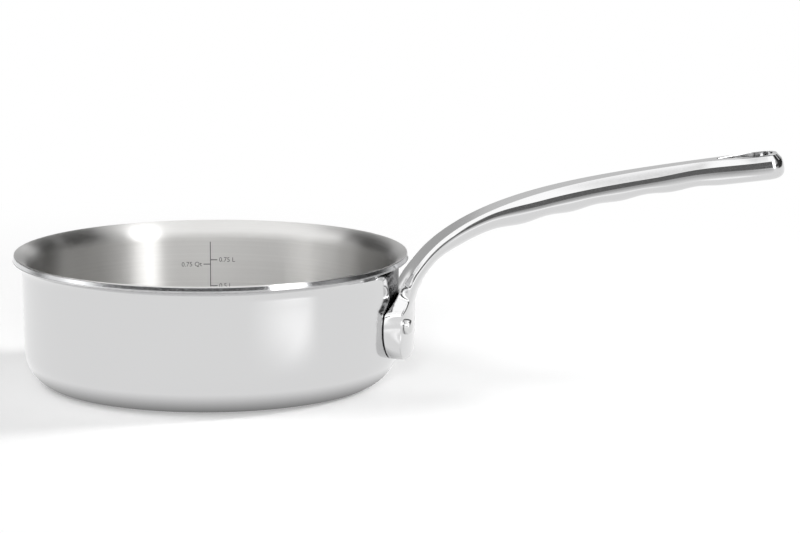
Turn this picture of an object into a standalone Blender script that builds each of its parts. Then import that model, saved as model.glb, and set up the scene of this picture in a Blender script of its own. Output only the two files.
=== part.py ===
# Saute pan: a clad steel body with a flared pouring lip and a cast handle on two rivets.
# Metres, +Z up. The origin is on the pan's axis at the face it rests on, and the handle runs
# along +X.

import math

import bmesh
import bpy
import numpy as np
from mathutils import Matrix, Vector

# Pan body, where the radii of bends are those of the outside surface
COOKING_RADIUS = 0.080
PAN_HEIGHT = 0.0578
INNER_SKIN = 0.0004
CORE = 0.0018
OUTER_SKIN = 0.0004
BOND_GAP = 0.00005
CORNER_RADIUS = 0.016
WALL_DRAFT = math.radians(1.0)
FLARE_RADIUS = 0.0058
LIP_OVERHANG = 0.0043

# Course of the handle: up the wall, then a slope that fades out along its length
SEAT_GAP = 0.0003
FLANGE_BOTTOM = 0.0137
LEAVES_WALL_AT = 0.0331
HANDLE_RUN = 0.1931
BEND_LENGTH = 0.0403
TIP_SLOPE = math.radians(6.05)
BEND_FLATTENS_BY = 0.0233

# Flange that hugs the wall
FLANGE_HALF_WIDTH = 0.034
LOBE_RADIUS = 0.015
FLANGE_DEPTH = 0.0070
FLANGE_BOTTOM_DEPTH = 0.0066
FLANGE_EDGE_DEPTH = 0.0060
FLANGE_EDGE_LEAN = 0.0055
FLANGE_BOTTOM_EDGE_DEPTH = 0.0050
EDGE_RUNS_IN_BY = 0.0030
DEPTH_RUNS_IN_BY = 0.0015
FLANGE_SIDE_FALL = 0.0003
SHOULDER_EDGE_DEPTH = 0.0044
THROAT_EDGE_DEPTH = 0.0022

# Sweep of the shoulder: shares of its length, and of its width still left there
SHOULDER_START_SHARE = 0.97
SHOULDER_SWEEP = [(0.22, 0.90), (0.45, 0.60), (0.70, 0.31), (1.00, 0.10)]

# Neck, waist and grip: half widths of the top, the chamfers beside it, the bulging sides
# below them and the depth of the section
THROAT_HALF_WIDTH = 0.0196
NECK_HALF_WIDTH = 0.0113
WAIST_HALF_WIDTH = 0.0075
GRIP_HALF_WIDTH = 0.0047
EYE_NECK_HALF_WIDTH = 0.0043
EYE_HALF_WIDTH = 0.0082
EYE_CROWN = 0.0005
NECK_CHAMFER_DEPTH = 0.0013
NECK_CHAMFER_REACH = 0.0012
WAIST_CHAMFER_DEPTH = 0.0028
WAIST_CHAMFER_REACH = 0.0030
GRIP_CHAMFER_DEPTH = 0.0033
GRIP_CHAMFER_REACH = 0.0040
EYE_NECK_CHAMFER_DEPTH = 0.0026
EYE_NECK_CHAMFER_REACH = 0.0031
EYE_CHAMFER_DEPTH = 0.0026
EYE_CHAMFER_REACH = 0.0024
THROAT_SIDE_FALL = 0.0008
NECK_SIDE_FALL = 0.0010
NECK_SIDE_BULGE = 0.0003
WAIST_SIDE_FALL = 0.0029
WAIST_SIDE_BULGE = 0.0008
GRIP_SIDE_FALL = 0.0026
GRIP_SIDE_BULGE = 0.0007
EYE_SIDE_FALL = 0.0034
EYE_SIDE_BULGE = 0.0010
SIDE_ROUNDING = 1.7
FLANGE_SQUARENESS = 4.0
NECK_SQUARENESS = 2.2
EYE_SQUARENESS = 3.4
THROAT_DEPTH = 0.0064
NECK_DEPTH = 0.0079
GRIP_START_DEPTH = 0.0090
WAIST_DEPTH = 0.0123
GRIP_DEPTH = 0.0116
EYE_DEPTH = 0.0114
TIP_ROUNDING = 0.0072
TIP_CHAMFER_REACH = 0.0018
TIP_SQUARENESS = 2.4

# Finger grooves under the grip
FIRST_RIDGE = 0.0750
FIRST_RIDGE_DEPTH = 0.0116
RIDGE_PITCH = 0.0227
GROOVES = 4
GROOVE_DEPTH = 0.0008

# Hanging eye near the tip, a drop shape cut straight through
EYE_START = 0.1650
EYE_END = 0.1893
EYE_RADIUS = 0.0068
EYE_POINT_RADIUS = 0.0010
PUNCH_LENGTH = 3 * EYE_DEPTH

# Rivets, square to the wall
RIVET_INSET = 0.0105
RIVET_HEIGHT = 0.0290
SHANK_RADIUS = 0.0025
SHANK_CLEARANCE = 0.0003
HEAD_GAP = 0.0003
OUTER_HEAD_RADIUS = 0.0034
OUTER_HEAD_HEIGHT = 0.0022
INNER_HEAD_RADIUS = 0.0046
INNER_HEAD_HEIGHT = 0.0014
HEAD_SQUARENESS = 0.55
DRILL_REACH = 0.020

# Fineness of the surfaces
TURN_STEPS = 64
ARC_STEPS = 5
TOP_STEPS = 4
SIDE_STEPS = 2
BELLY_STEPS = 5
SHANK_STEPS = 16
FLANGE_STEP = 0.0020
SHOULDER_STEP = 0.0011
NECK_STEP = 0.0030
GRIP_STEP = RIDGE_PITCH / 7
TIP_FAN_STEPS = 14
PATH_STEP = 0.0005
EYE_ARC_STEPS = 14
EYE_POINT_STEPS = 4
DOME_STEPS = 4
CREASE = 30
HANDLE_CREASE = 28
MERGE = 1e-6
NEARLY_STRAIGHT = 1e-3

WALL_SLOPE = math.pi / 2 - WALL_DRAFT
WALL = OUTER_SKIN + BOND_GAP + CORE + BOND_GAP + INNER_SKIN
LIP_RADIUS = COOKING_RADIUS + WALL + LIP_OVERHANG


# Turned profile of the pan body

def flare_centre():
    """Centre of the flare's bend, which lies outside the wall."""
    bend = FLARE_RADIUS + WALL
    radius = COOKING_RADIUS + bend * math.sin(WALL_SLOPE)
    return radius, PAN_HEIGHT - bend * math.cos(lip_slope(radius))


def lip_slope(radius):
    """Slope at which every ply ends, so that the rim's edge is square to the flare."""
    return math.asin((radius - LIP_RADIUS) / FLARE_RADIUS)


def outer_wall_radius(height):
    """Radius of the outside surface on the straight part of the wall."""
    radius, level = flare_centre()
    start_radius = radius - FLARE_RADIUS * math.sin(WALL_SLOPE)
    start_level = level + FLARE_RADIUS * math.cos(WALL_SLOPE)
    return start_radius - (start_level - height) * math.tan(WALL_DRAFT)


def body_surface(inset):
    """Profile from the axis out to the lip, that far inside the outer surface."""
    corner_end = CORNER_RADIUS * (1 - math.cos(WALL_SLOPE))
    corner_axis = outer_wall_radius(corner_end) - CORNER_RADIUS * math.sin(WALL_SLOPE)
    bend = CORNER_RADIUS - inset
    points = [(0.0, inset)]
    for slope in np.linspace(0, WALL_SLOPE, ARC_STEPS + 1):
        points.append((corner_axis + bend * math.sin(slope), CORNER_RADIUS - bend * math.cos(slope)))
    radius, level = flare_centre()
    bend = FLARE_RADIUS + inset
    for slope in np.linspace(WALL_SLOPE, lip_slope(radius), ARC_STEPS + 1):
        points.append((radius - bend * math.sin(slope), level + bend * math.cos(slope)))
    return points


def ply_profile(outer_inset, thickness):
    outside = body_surface(outer_inset)
    inside = body_surface(outer_inset + thickness)
    return outside + inside[::-1]


# Mesh and material helpers

def steel(name, colour, roughness, metallic=1.0):
    material = bpy.data.materials.new(name)
    material.use_nodes = True
    shader = material.node_tree.nodes["Principled BSDF"]
    shader.inputs["Base Color"].default_value = (*colour, 1.0)
    shader.inputs["Roughness"].default_value = roughness
    shader.inputs["Metallic"].default_value = metallic
    return material


def finished(bm, name, material, crease=CREASE):
    bmesh.ops.remove_doubles(bm, verts=bm.verts, dist=MERGE)
    bmesh.ops.recalc_face_normals(bm, faces=bm.faces)
    mesh = bpy.data.meshes.new(name)
    bm.to_mesh(mesh)
    bm.free()
    mesh.shade_smooth()
    mesh.set_sharp_from_angle(angle=math.radians(crease))
    mesh.materials.append(material)
    obj = bpy.data.objects.new(name, mesh)
    bpy.context.scene.collection.objects.link(obj)
    return obj


def turned(name, profile, material, steps=TURN_STEPS):
    """Spins a profile of radius and height, with both ends on the Z axis."""
    bm = bmesh.new()
    verts = [bm.verts.new((radius, 0.0, height)) for radius, height in profile]
    edges = [bm.edges.new(pair) for pair in zip(verts, verts[1:])]
    bmesh.ops.spin(
        bm, geom=verts + edges, cent=(0, 0, 0), axis=(0, 0, 1), angle=math.tau, steps=steps
    )
    return finished(bm, name, material)


def cut(obj, cutter):
    cutter.hide_render = True
    cutter.display_type = "WIRE"
    modifier = obj.modifiers.new("cut_" + cutter.name, "BOOLEAN")
    modifier.operation = "DIFFERENCE"
    modifier.object = cutter


# Course of the handle

def handle_course():
    """Distance along the handle from where it leaves the wall, with X, Z and slope there."""
    start = FLANGE_BOTTOM - LEAVES_WALL_AT
    along = np.arange(start, HANDLE_RUN + PATH_STEP, PATH_STEP)
    fade = np.exp(-np.maximum(along, 0) / BEND_LENGTH)
    slope = TIP_SLOPE + (WALL_SLOPE - TIP_SLOPE) * fade
    middle = (slope[1:] + slope[:-1]) / 2
    x = np.concatenate([[0], np.cumsum(np.cos(middle))]) * PATH_STEP
    z = np.concatenate([[0], np.cumsum(np.sin(middle))]) * PATH_STEP
    seat = outer_wall_radius(FLANGE_BOTTOM) + SEAT_GAP
    return along, x + seat, z + FLANGE_BOTTOM, slope


COURSE = handle_course()


def course_frame(along):
    """Point on the handle's top line, the way it runs, and the way down into it."""
    distances, xs, zs, slopes = COURSE
    slope = float(np.interp(along, distances, slopes))
    point = Vector((np.interp(along, distances, xs), 0, np.interp(along, distances, zs)))
    run = Vector((math.cos(slope), 0, math.sin(slope)))
    down = Vector((math.sin(slope), 0, -math.cos(slope)))
    return point, run, down


# Sections of the handle

def through(stations, along):
    """Smooth value through stations of (distance, value) that never overshoots them."""
    xs, ys = (np.array(column, float) for column in zip(*stations))
    steps = np.diff(xs)
    rates = np.diff(ys) / steps
    slopes = np.zeros(len(xs))
    for i in range(1, len(xs) - 1):
        if rates[i - 1] * rates[i] > 0:
            before = 2 * steps[i] + steps[i - 1]
            after = steps[i] + 2 * steps[i - 1]
            slopes[i] = (before + after) / (before / rates[i - 1] + after / rates[i])
    i = int(np.clip(np.searchsorted(xs, along) - 1, 0, len(steps) - 1))
    t = float(np.clip((along - xs[i]) / steps[i], 0, 1))
    start = ys[i] * (1 + 2 * t) * (1 - t) ** 2 + slopes[i] * steps[i] * t * (1 - t) ** 2
    end = ys[i + 1] * t * t * (3 - 2 * t) + slopes[i + 1] * steps[i] * t * t * (t - 1)
    return start + end


FLANGE_START = FLANGE_BOTTOM - LEAVES_WALL_AT
LOBE_CENTRE = FLANGE_START + LOBE_RADIUS
SHOULDER_START = -0.0010
SHOULDER = 0.0078
THROAT = 0.0140
NECK_CHAMFER_START = 0.0200
NECK_UNDERSIDE = 0.0280
NECK = 0.0440
GRIP_START = 0.0600
WAIST = 0.0860
FULL_WAIST = 0.1000
GRIP = 0.1350
EYE_NECK = 0.1560
EYE = EYE_END - EYE_RADIUS
TIP_CENTRE = HANDLE_RUN - TIP_ROUNDING


def top_half_width(along):
    if along < LOBE_CENTRE:
        drop = min(LOBE_CENTRE - along, LOBE_RADIUS)
        return FLANGE_HALF_WIDTH - LOBE_RADIUS + math.sqrt(LOBE_RADIUS**2 - drop**2)
    sweep = FLANGE_HALF_WIDTH - THROAT_HALF_WIDTH
    return through(
        [
            (LOBE_CENTRE, FLANGE_HALF_WIDTH),
            (SHOULDER_START, THROAT_HALF_WIDTH + SHOULDER_START_SHARE * sweep),
            *[(at * SHOULDER, THROAT_HALF_WIDTH + share * sweep) for at, share in SHOULDER_SWEEP],
            (THROAT, THROAT_HALF_WIDTH),
            (NECK, NECK_HALF_WIDTH),
            (WAIST, WAIST_HALF_WIDTH),
            (GRIP, GRIP_HALF_WIDTH),
            (EYE_NECK, EYE_NECK_HALF_WIDTH),
            (EYE, EYE_HALF_WIDTH),
        ],
        along,
    )


def chamfer_depth(along):
    return through(
        [
            (FLANGE_START, FLANGE_BOTTOM_EDGE_DEPTH),
            (FLANGE_START + EDGE_RUNS_IN_BY, FLANGE_EDGE_DEPTH),
            (SHOULDER_START, FLANGE_EDGE_DEPTH),
            (SHOULDER, SHOULDER_EDGE_DEPTH),
            (THROAT, THROAT_EDGE_DEPTH),
            (NECK_CHAMFER_START, NECK_CHAMFER_DEPTH),
            (GRIP_START, NECK_CHAMFER_DEPTH),
            (WAIST, WAIST_CHAMFER_DEPTH),
            (GRIP, GRIP_CHAMFER_DEPTH),
            (EYE_NECK, EYE_NECK_CHAMFER_DEPTH),
            (EYE, EYE_CHAMFER_DEPTH),
        ],
        along,
    )


def chamfer_reach(along):
    """How far the chamfer's lower edge stands out past the flat top; it leans in on the flange."""
    return through(
        [
            (FLANGE_START, 0.0),
            (LOBE_CENTRE, -FLANGE_EDGE_LEAN),
            (SHOULDER_START, -FLANGE_EDGE_LEAN),
            (THROAT, NECK_CHAMFER_REACH),
            (GRIP_START, NECK_CHAMFER_REACH),
            (WAIST, WAIST_CHAMFER_REACH),
            (GRIP, GRIP_CHAMFER_REACH),
            (EYE_NECK, EYE_NECK_CHAMFER_REACH),
            (EYE, EYE_CHAMFER_REACH),
        ],
        along,
    )


def section_depth(along):
    depth = through(
        [
            (FLANGE_START, FLANGE_BOTTOM_DEPTH),
            (FLANGE_START + DEPTH_RUNS_IN_BY, FLANGE_DEPTH),
            (SHOULDER_START, FLANGE_DEPTH),
            (NECK_UNDERSIDE, THROAT_DEPTH),
            (NECK, NECK_DEPTH),
            (GRIP_START, GRIP_START_DEPTH),
            (FIRST_RIDGE, FIRST_RIDGE_DEPTH),
            (FULL_WAIST, WAIST_DEPTH),
            (GRIP, GRIP_DEPTH),
            (EYE, EYE_DEPTH),
        ],
        along,
    )
    phase = (along - FIRST_RIDGE) / RIDGE_PITCH
    if 0 < phase < GROOVES:
        depth -= GROOVE_DEPTH * (1 - math.cos(math.tau * phase)) / 2
    return depth


def top_crown(along):
    """How far the top's edges lie below its middle, which is only near the eye."""
    return through([(EYE_NECK, 0.0), (EYE, EYE_CROWN)], along)


def side_edge(along):
    """Lower edge of the bulging side, as its distance from the middle and its depth."""
    fall = through(
        [
            (SHOULDER, FLANGE_SIDE_FALL),
            (THROAT, THROAT_SIDE_FALL),
            (NECK, NECK_SIDE_FALL),
            (WAIST, WAIST_SIDE_FALL),
            (GRIP, GRIP_SIDE_FALL),
            (EYE, EYE_SIDE_FALL),
        ],
        along,
    )
    bulge = through(
        [
            (THROAT, 0.0),
            (NECK, NECK_SIDE_BULGE),
            (WAIST, WAIST_SIDE_BULGE),
            (GRIP, GRIP_SIDE_BULGE),
            (EYE, EYE_SIDE_BULGE),
        ],
        along,
    )
    return top_half_width(along) + chamfer_reach(along) + bulge, chamfer_depth(along) + fall


def belly_squareness(along):
    return through(
        [
            (0.0, FLANGE_SQUARENESS),
            (THROAT, NECK_SQUARENESS),
            (WAIST, NECK_SQUARENESS),
            (EYE, EYE_SQUARENESS),
        ],
        along,
    )


def half_section(along):
    """Points of (across, depth) from the middle of the top, over the edge, to the underside."""
    top = top_half_width(along)
    depth = section_depth(along)
    side = top + chamfer_reach(along)
    side_depth = chamfer_depth(along)
    power = 2 / belly_squareness(along)
    crown = top_crown(along)
    widest, widest_depth = side_edge(along)
    points = [(top * share, crown * share**2) for share in np.linspace(0, 1, TOP_STEPS + 1)]
    points.append(((top + side) / 2, (crown + side_depth) / 2))
    for share in np.linspace(0, 1, SIDE_STEPS + 1)[:-1]:
        bulge = (widest - side) * (SIDE_ROUNDING * share + (1 - SIDE_ROUNDING) * share**2)
        points.append((side + bulge, side_depth + (widest_depth - side_depth) * share))
    for angle in np.linspace(0, math.pi / 2, BELLY_STEPS + 1):
        across = widest * max(math.cos(angle), 0) ** power
        points.append((across, widest_depth + (depth - widest_depth) * math.sin(angle) ** power))
    points[-1] = (0.0, depth)
    return points


def wall_curve(along):
    """Curvature across the handle, which is the wall's on the flange and fades out in the neck."""
    share = float(np.clip(along / BEND_FLATTENS_BY, 0, 1))
    seat = outer_wall_radius(LEAVES_WALL_AT) + SEAT_GAP
    return (1 - share * share * (3 - 2 * share)) / seat


def section_point(along, across, depth):
    point, _, down = course_frame(along)
    curve = wall_curve(along)
    if curve < NEARLY_STRAIGHT:
        return point + down * depth + Vector((0, across, 0))
    angle = across * curve
    radius = 1 / curve + depth
    return point + down * (radius * math.cos(angle) - 1 / curve) + Vector((0, radius * math.sin(angle), 0))


def section_places():
    """Distances of the sections along the handle, closer together on the flange and neck."""
    places = []
    spans = [
        (FLANGE_START, SHOULDER_START, FLANGE_STEP),
        (SHOULDER_START, THROAT, SHOULDER_STEP),
        (THROAT, NECK, NECK_STEP),
        (NECK, TIP_CENTRE, GRIP_STEP),
    ]
    for start, end, step in spans:
        count = max(2, math.ceil((end - start) / step))
        places += list(np.linspace(start, end, count + 1)[:-1])
    return places + [TIP_CENTRE]


def tip_fan_point(angle, across, depth):
    """Carries the last section's half profile round the squared end of the tip."""
    point, run, down = course_frame(TIP_CENTRE)
    top = top_half_width(TIP_CENTRE)
    side = top + chamfer_reach(TIP_CENTRE)
    length = TIP_ROUNDING * across / side
    if depth < chamfer_depth(TIP_CENTRE):
        flat_length = TIP_ROUNDING - TIP_CHAMFER_REACH
        length = np.interp(across, [0, top, side], [0, flat_length, TIP_ROUNDING])
    power = TIP_SQUARENESS
    swell = (abs(math.cos(angle)) ** power + abs(math.sin(angle)) ** power) ** (-1 / power)
    sideways = -across * swell * math.cos(angle)
    return point + run * length * swell * math.sin(angle) + down * depth + Vector((0, sideways, 0))


def handle_casting(material):
    bm = bmesh.new()
    rings = []
    for along in section_places():
        half = half_section(along)
        outline = [(-across, depth) for across, depth in half]
        outline += half[-2:0:-1]
        rings.append([bm.verts.new(section_point(along, *spot)) for spot in outline])
    for ring, following in zip(rings, rings[1:]):
        for i in range(len(ring)):
            j = (i + 1) % len(ring)
            bm.faces.new((ring[i], ring[j], following[j], following[i]))
    bm.faces.new(rings[0])

    half = half_section(TIP_CENTRE)
    last = len(half) - 1
    near = rings[-1][: last + 1]
    far = [rings[-1][-i % len(rings[-1])] for i in range(last + 1)]
    fan = [near]
    for angle in np.linspace(0, math.pi, TIP_FAN_STEPS + 1)[1:-1]:
        middle = [bm.verts.new(tip_fan_point(angle, *spot)) for spot in half[1:-1]]
        fan.append([near[0], *middle, near[last]])
    fan.append(far)
    for line, following in zip(fan, fan[1:]):
        bm.faces.new((line[0], line[1], following[1]))
        bm.faces.new((line[last - 1], line[last], following[last - 1]))
        for i in range(1, last - 1):
            bm.faces.new((line[i], line[i + 1], following[i + 1], following[i]))
    return finished(bm, "handle", material, HANDLE_CREASE)


def eye_cutter(material):
    """Drop-shaped punch for the hanging eye, square to the handle's top."""
    middle = (EYE_START + EYE_END) / 2
    point, run, down = course_frame(middle)
    big = EYE_END - EYE_RADIUS - middle
    small = EYE_START + EYE_POINT_RADIUS - middle
    lean = math.asin((EYE_RADIUS - EYE_POINT_RADIUS) / (big - small))
    outline = []
    for angle in np.linspace(-math.pi / 2 - lean, math.pi / 2 + lean, EYE_ARC_STEPS + 1):
        outline.append((big + EYE_RADIUS * math.cos(angle), EYE_RADIUS * math.sin(angle)))
    for angle in np.linspace(math.pi / 2 + lean, 3 * math.pi / 2 - lean, EYE_POINT_STEPS + 1):
        outline.append(
            (small + EYE_POINT_RADIUS * math.cos(angle), EYE_POINT_RADIUS * math.sin(angle))
        )
    bm = bmesh.new()
    side = Vector((0, 1, 0))
    start = point - down * PUNCH_LENGTH / 2
    base = [bm.verts.new(start + run * x + side * y) for x, y in outline]
    face = bm.faces.new(base)
    grown = bmesh.ops.extrude_face_region(bm, geom=[face])
    moved = [item for item in grown["geom"] if isinstance(item, bmesh.types.BMVert)]
    bmesh.ops.translate(bm, verts=moved, vec=down * PUNCH_LENGTH)
    return finished(bm, "eye_punch", material)


# Rivets

def rivet_angle():
    """Angle of a rivet round the pan's axis, from its distance to the side of the flange."""
    seat = outer_wall_radius(LEAVES_WALL_AT) + SEAT_GAP
    return (FLANGE_HALF_WIDTH - RIVET_INSET) / seat


def rivet_frame(angle):
    """Places a piece that was turned about Z so that it points out through the wall."""
    turn = Matrix.Rotation(angle, 4, "Z") @ Matrix.Rotation(math.pi / 2, 4, "Y")
    return Matrix.Translation((0, 0, RIVET_HEIGHT)) @ turn


def dome(radius, height, base):
    """Profile of a flattened dome from its apex to its rim; base is where its flat side lies."""
    return [
        (radius * math.sin(angle) ** HEAD_SQUARENESS, base + height * math.cos(angle) ** HEAD_SQUARENESS)
        for angle in np.linspace(0, math.pi / 2, DOME_STEPS + 1)
    ]


def rivet(name, angle, material):
    inner_seat = outer_wall_radius(RIVET_HEIGHT) - WALL - HEAD_GAP
    outer_seat = outer_wall_radius(RIVET_HEIGHT) + SEAT_GAP + FLANGE_DEPTH + HEAD_GAP
    head = dome(OUTER_HEAD_RADIUS, OUTER_HEAD_HEIGHT, outer_seat)
    foot = dome(INNER_HEAD_RADIUS, -INNER_HEAD_HEIGHT, inner_seat)
    profile = head + [(SHANK_RADIUS, outer_seat), (SHANK_RADIUS, inner_seat)] + foot[::-1]
    obj = turned(name, profile, material, SHANK_STEPS)
    obj.matrix_world = rivet_frame(angle)
    return obj


def rivet_drill(name, angle, material):
    radius = SHANK_RADIUS + SHANK_CLEARANCE
    start = COOKING_RADIUS - DRILL_REACH
    end = COOKING_RADIUS + WALL + FLANGE_DEPTH + DRILL_REACH
    obj = turned(name, [(0, end), (radius, end), (radius, start), (0, start)], material, SHANK_STEPS)
    obj.matrix_world = rivet_frame(angle)
    return obj


def main():
    for obj in list(bpy.data.objects):
        bpy.data.objects.remove(obj)

    brushed = steel("brushed_stainless", (0.62, 0.61, 0.59), 0.32)
    aluminium = steel("core_aluminium", (0.72, 0.72, 0.73), 0.35)
    polished = steel("polished_stainless", (0.70, 0.70, 0.70), 0.10)
    cast = steel("cast_stainless", (0.66, 0.66, 0.66), 0.08)
    head = steel("rivet_stainless", (0.68, 0.68, 0.67), 0.15)

    core_inset = OUTER_SKIN + BOND_GAP
    inner_inset = core_inset + CORE + BOND_GAP
    outer = turned("outer_steel_skin", ply_profile(0, OUTER_SKIN), polished)
    core = turned("aluminium_core", ply_profile(core_inset, CORE), aluminium)
    inner = turned("inner_steel_skin", ply_profile(inner_inset, INNER_SKIN), brushed)
    handle = handle_casting(cast)
    cut(handle, eye_cutter(cast))
    for side, angle in (("right", -rivet_angle()), ("left", rivet_angle())):
        drill = rivet_drill("drill_" + side, angle, head)
        for piece in (outer, core, inner, handle):
            cut(piece, drill)
        rivet("rivet_" + side, angle, head)


main()
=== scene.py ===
import math

import bmesh
import bpy
import numpy as np
from mathutils import Matrix, Vector


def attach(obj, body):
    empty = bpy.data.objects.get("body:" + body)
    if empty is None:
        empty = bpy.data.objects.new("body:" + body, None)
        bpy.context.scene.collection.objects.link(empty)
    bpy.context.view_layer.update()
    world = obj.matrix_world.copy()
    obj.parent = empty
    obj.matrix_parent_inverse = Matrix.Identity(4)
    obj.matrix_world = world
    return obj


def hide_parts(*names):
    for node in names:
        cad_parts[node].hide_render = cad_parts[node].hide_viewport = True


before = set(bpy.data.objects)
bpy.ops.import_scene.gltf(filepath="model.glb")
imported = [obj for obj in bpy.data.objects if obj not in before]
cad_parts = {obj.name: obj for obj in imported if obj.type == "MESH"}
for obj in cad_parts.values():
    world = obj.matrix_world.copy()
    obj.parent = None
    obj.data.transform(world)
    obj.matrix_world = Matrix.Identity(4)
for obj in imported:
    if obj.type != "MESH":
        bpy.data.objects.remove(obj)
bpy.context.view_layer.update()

# A small clad steel saute pan on a white sweep. Metres, Z up, the handle along +X,
# the camera on the -Y side.

scene = bpy.context.scene
scene.view_settings.view_transform = "Standard"


# Camera, at the photograph's angle

camera = {
    "place": (0.0832, -1.7282, 0.3577),
    "lookDown": math.radians(10.06),
    "lens": 179.5,
    "sensor": 36,
    "nearest": 0.05,
}


def makeCamera():
    data = bpy.data.cameras.new("panCamera")
    data.lens = camera["lens"]
    data.sensor_width = camera["sensor"]
    data.clip_start = camera["nearest"]
    cameraObject = addObject("panCamera", data)
    cameraObject.location = camera["place"]
    cameraObject.rotation_euler = (math.pi / 2 - camera["lookDown"], 0, 0)
    scene.camera = cameraObject


# Small helpers for node trees and meshes

# Points this close are merged, and turns and curves below these count as none
closeness = {"merge": 1e-7, "pole": 1e-6, "straight": 1e-4, "flat": 1e-3}
white = (1, 1, 1, 1)


def addNode(tree, kind, inputs=None, **settings):
    node = tree.nodes.new(kind)
    for name, value in settings.items():
        setattr(node, name, value)
    for name, value in (inputs or {}).items():
        socket = node.inputs[name]
        if isinstance(value, bpy.types.NodeSocket):
            tree.links.new(value, socket)
        else:
            socket.default_value = value
    return node


def outputOf(*node, **settings):
    return addNode(*node, **settings).outputs[0]


def mathNode(tree, operation, first, second=0.0):
    return outputOf(tree, "ShaderNodeMath", {0: first, 1: second}, operation=operation)


def newTree(name, sockets):
    tree = bpy.data.node_groups.new(name, "GeometryNodeTree")
    for socketName, kind in [("Geometry", "Geometry"), *sockets]:
        tree.interface.new_socket(socketName, in_out="INPUT", socket_type="NodeSocket" + kind)
    tree.interface.new_socket("Geometry", in_out="OUTPUT", socket_type="NodeSocketGeometry")
    return tree, tree.nodes.new("NodeGroupInput").outputs


def endTree(tree, geometry, material):
    real = outputOf(tree, "GeometryNodeRealizeInstances", {"Geometry": geometry})
    painted = outputOf(tree, "GeometryNodeSetMaterial", {"Geometry": real, "Material": material})
    tree.links.new(painted, tree.nodes.new("NodeGroupOutput").inputs[0])


def addObject(name, data):
    made = bpy.data.objects.new(name, data)
    scene.collection.objects.link(made)
    return made


def finalMesh(source):
    # The object's mesh as it is once its modifiers have run
    depsgraph = bpy.context.evaluated_depsgraph_get()
    return bpy.data.meshes.new_from_object(source.evaluated_get(depsgraph))


def closeMesh(name, bm, material=None):
    # Writes the working mesh to a named one
    mesh = bpy.data.meshes.new(name)
    bm.to_mesh(mesh)
    bm.free()
    if material:
        mesh.materials.append(material)
    return mesh


def bridge(bm, rings):
    # Faces from each closed ring to the next
    for ring, following in zip(rings, rings[1:]):
        for i in range(len(ring)):
            j = (i + 1) % len(ring)
            bm.faces.new((ring[i], ring[j], following[j], following[i]))


def grow(name, baseMesh, tree, values):
    # Runs a node tree on a base mesh and keeps only the plain mesh that comes out
    seed = addObject(name + "Seed", baseMesh)
    modifier = seed.modifiers.new("grow", "NODES")
    modifier.node_group = tree
    for item in tree.interface.items_tree:
        if item.in_out == "INPUT" and item.name in values:
            modifier[item.identifier] = values[item.name]
    seed.data.update()
    mesh = finalMesh(seed)
    mesh.name = name
    bpy.data.objects.remove(seed)
    return mesh


def lineMesh(name, profile):
    # A line of radius and height, laid in the XZ plane
    mesh = bpy.data.meshes.new(name)
    points = [(radius, 0.0, height) for radius, height in profile]
    mesh.from_pydata(points, [(i, i + 1) for i in range(len(points) - 1)], [])
    return mesh


def placePiece(name, mesh, nodes, sharp=30):
    # Closes the mesh, turns its faces out and fits it in place of the frame's own nodes
    bm = bmesh.new()
    bm.from_mesh(mesh)
    bmesh.ops.remove_doubles(bm, verts=bm.verts, dist=closeness["merge"])
    bmesh.ops.recalc_face_normals(bm, faces=bm.faces)
    bm.to_mesh(mesh)
    bm.free()
    mesh.shade_smooth()
    mesh.set_sharp_from_angle(angle=math.radians(sharp))
    piece = addObject(name, mesh)
    if nodes:
        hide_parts(*nodes)
    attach(piece, "root")
    print("made", name, len(mesh.polygons), "faces")


# Finishes. Noise is set by its cells per metre, for rings also how fast they drift, and its
# detail. Each spread says which values of the noise go to which values of what follows it.

def newMaterial(name, finish, metallic=1.0):
    material = bpy.data.materials.new(name)
    material.use_nodes = True
    tree = material.node_tree
    shader = tree.nodes["Principled BSDF"]
    shader.inputs["Base Color"].default_value = (*finish["tone"], 1.0)
    shader.inputs["Roughness"].default_value = finish["roughness"]
    shader.inputs["Metallic"].default_value = metallic
    return material, tree, shader


def objectPlace(tree):
    return addNode(tree, "ShaderNodeTexCoord").outputs["Object"]


def noise(tree, place, scale, detail):
    inputs = {"Vector": place, "Scale": scale, "Detail": detail}
    return outputOf(tree, "ShaderNodeTexNoise", inputs)


def mapRange(tree, value, low, high, newLow, newHigh, **settings):
    inputs = {"Value": value, 1: low, 2: high, 3: newLow, 4: newHigh}
    return outputOf(tree, "ShaderNodeMapRange", inputs, **settings)


def spreadRoughness(tree, shader, value, finish):
    roughness = mapRange(tree, value, *finish["roughnessSpread"])
    tree.links.new(roughness, shader.inputs["Roughness"])


def bump(tree, shader, height, distance):
    inputs = {"Height": height, "Distance": distance, "Strength": 1.0}
    tree.links.new(outputOf(tree, "ShaderNodeBump", inputs), shader.inputs["Normal"])


def ringPlace(tree):
    # The place on the object, its three parts and its distance from the axis
    place = objectPlace(tree)
    parts = addNode(tree, "ShaderNodeSeparateXYZ", {0: place}).outputs
    flat = outputOf(tree, "ShaderNodeCombineXYZ", {0: parts[0], 1: parts[1]})
    radius = addNode(tree, "ShaderNodeVectorMath", {0: flat}, operation="LENGTH").outputs["Value"]
    return place, parts, radius


def ringNoise(tree, radius, parts, scale, drift, detail):
    # Noise of radius and height that drifts slowly with X and Y, so that it makes rings
    driftX = mathNode(tree, "MULTIPLY", parts[0], drift)
    driftY = mathNode(tree, "MULTIPLY", parts[1], drift)
    level = mathNode(tree, "ADD", parts[2], driftX)
    rings = outputOf(tree, "ShaderNodeCombineXYZ", {0: radius, 1: level, 2: driftY})
    return noise(tree, rings, scale, detail)


def blend(tree, first, share, second):
    # The first times its share, plus the second
    total = mathNode(tree, "MULTIPLY_ADD", first, share)
    tree.links.new(second, total.node.inputs[2])
    return total


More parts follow.
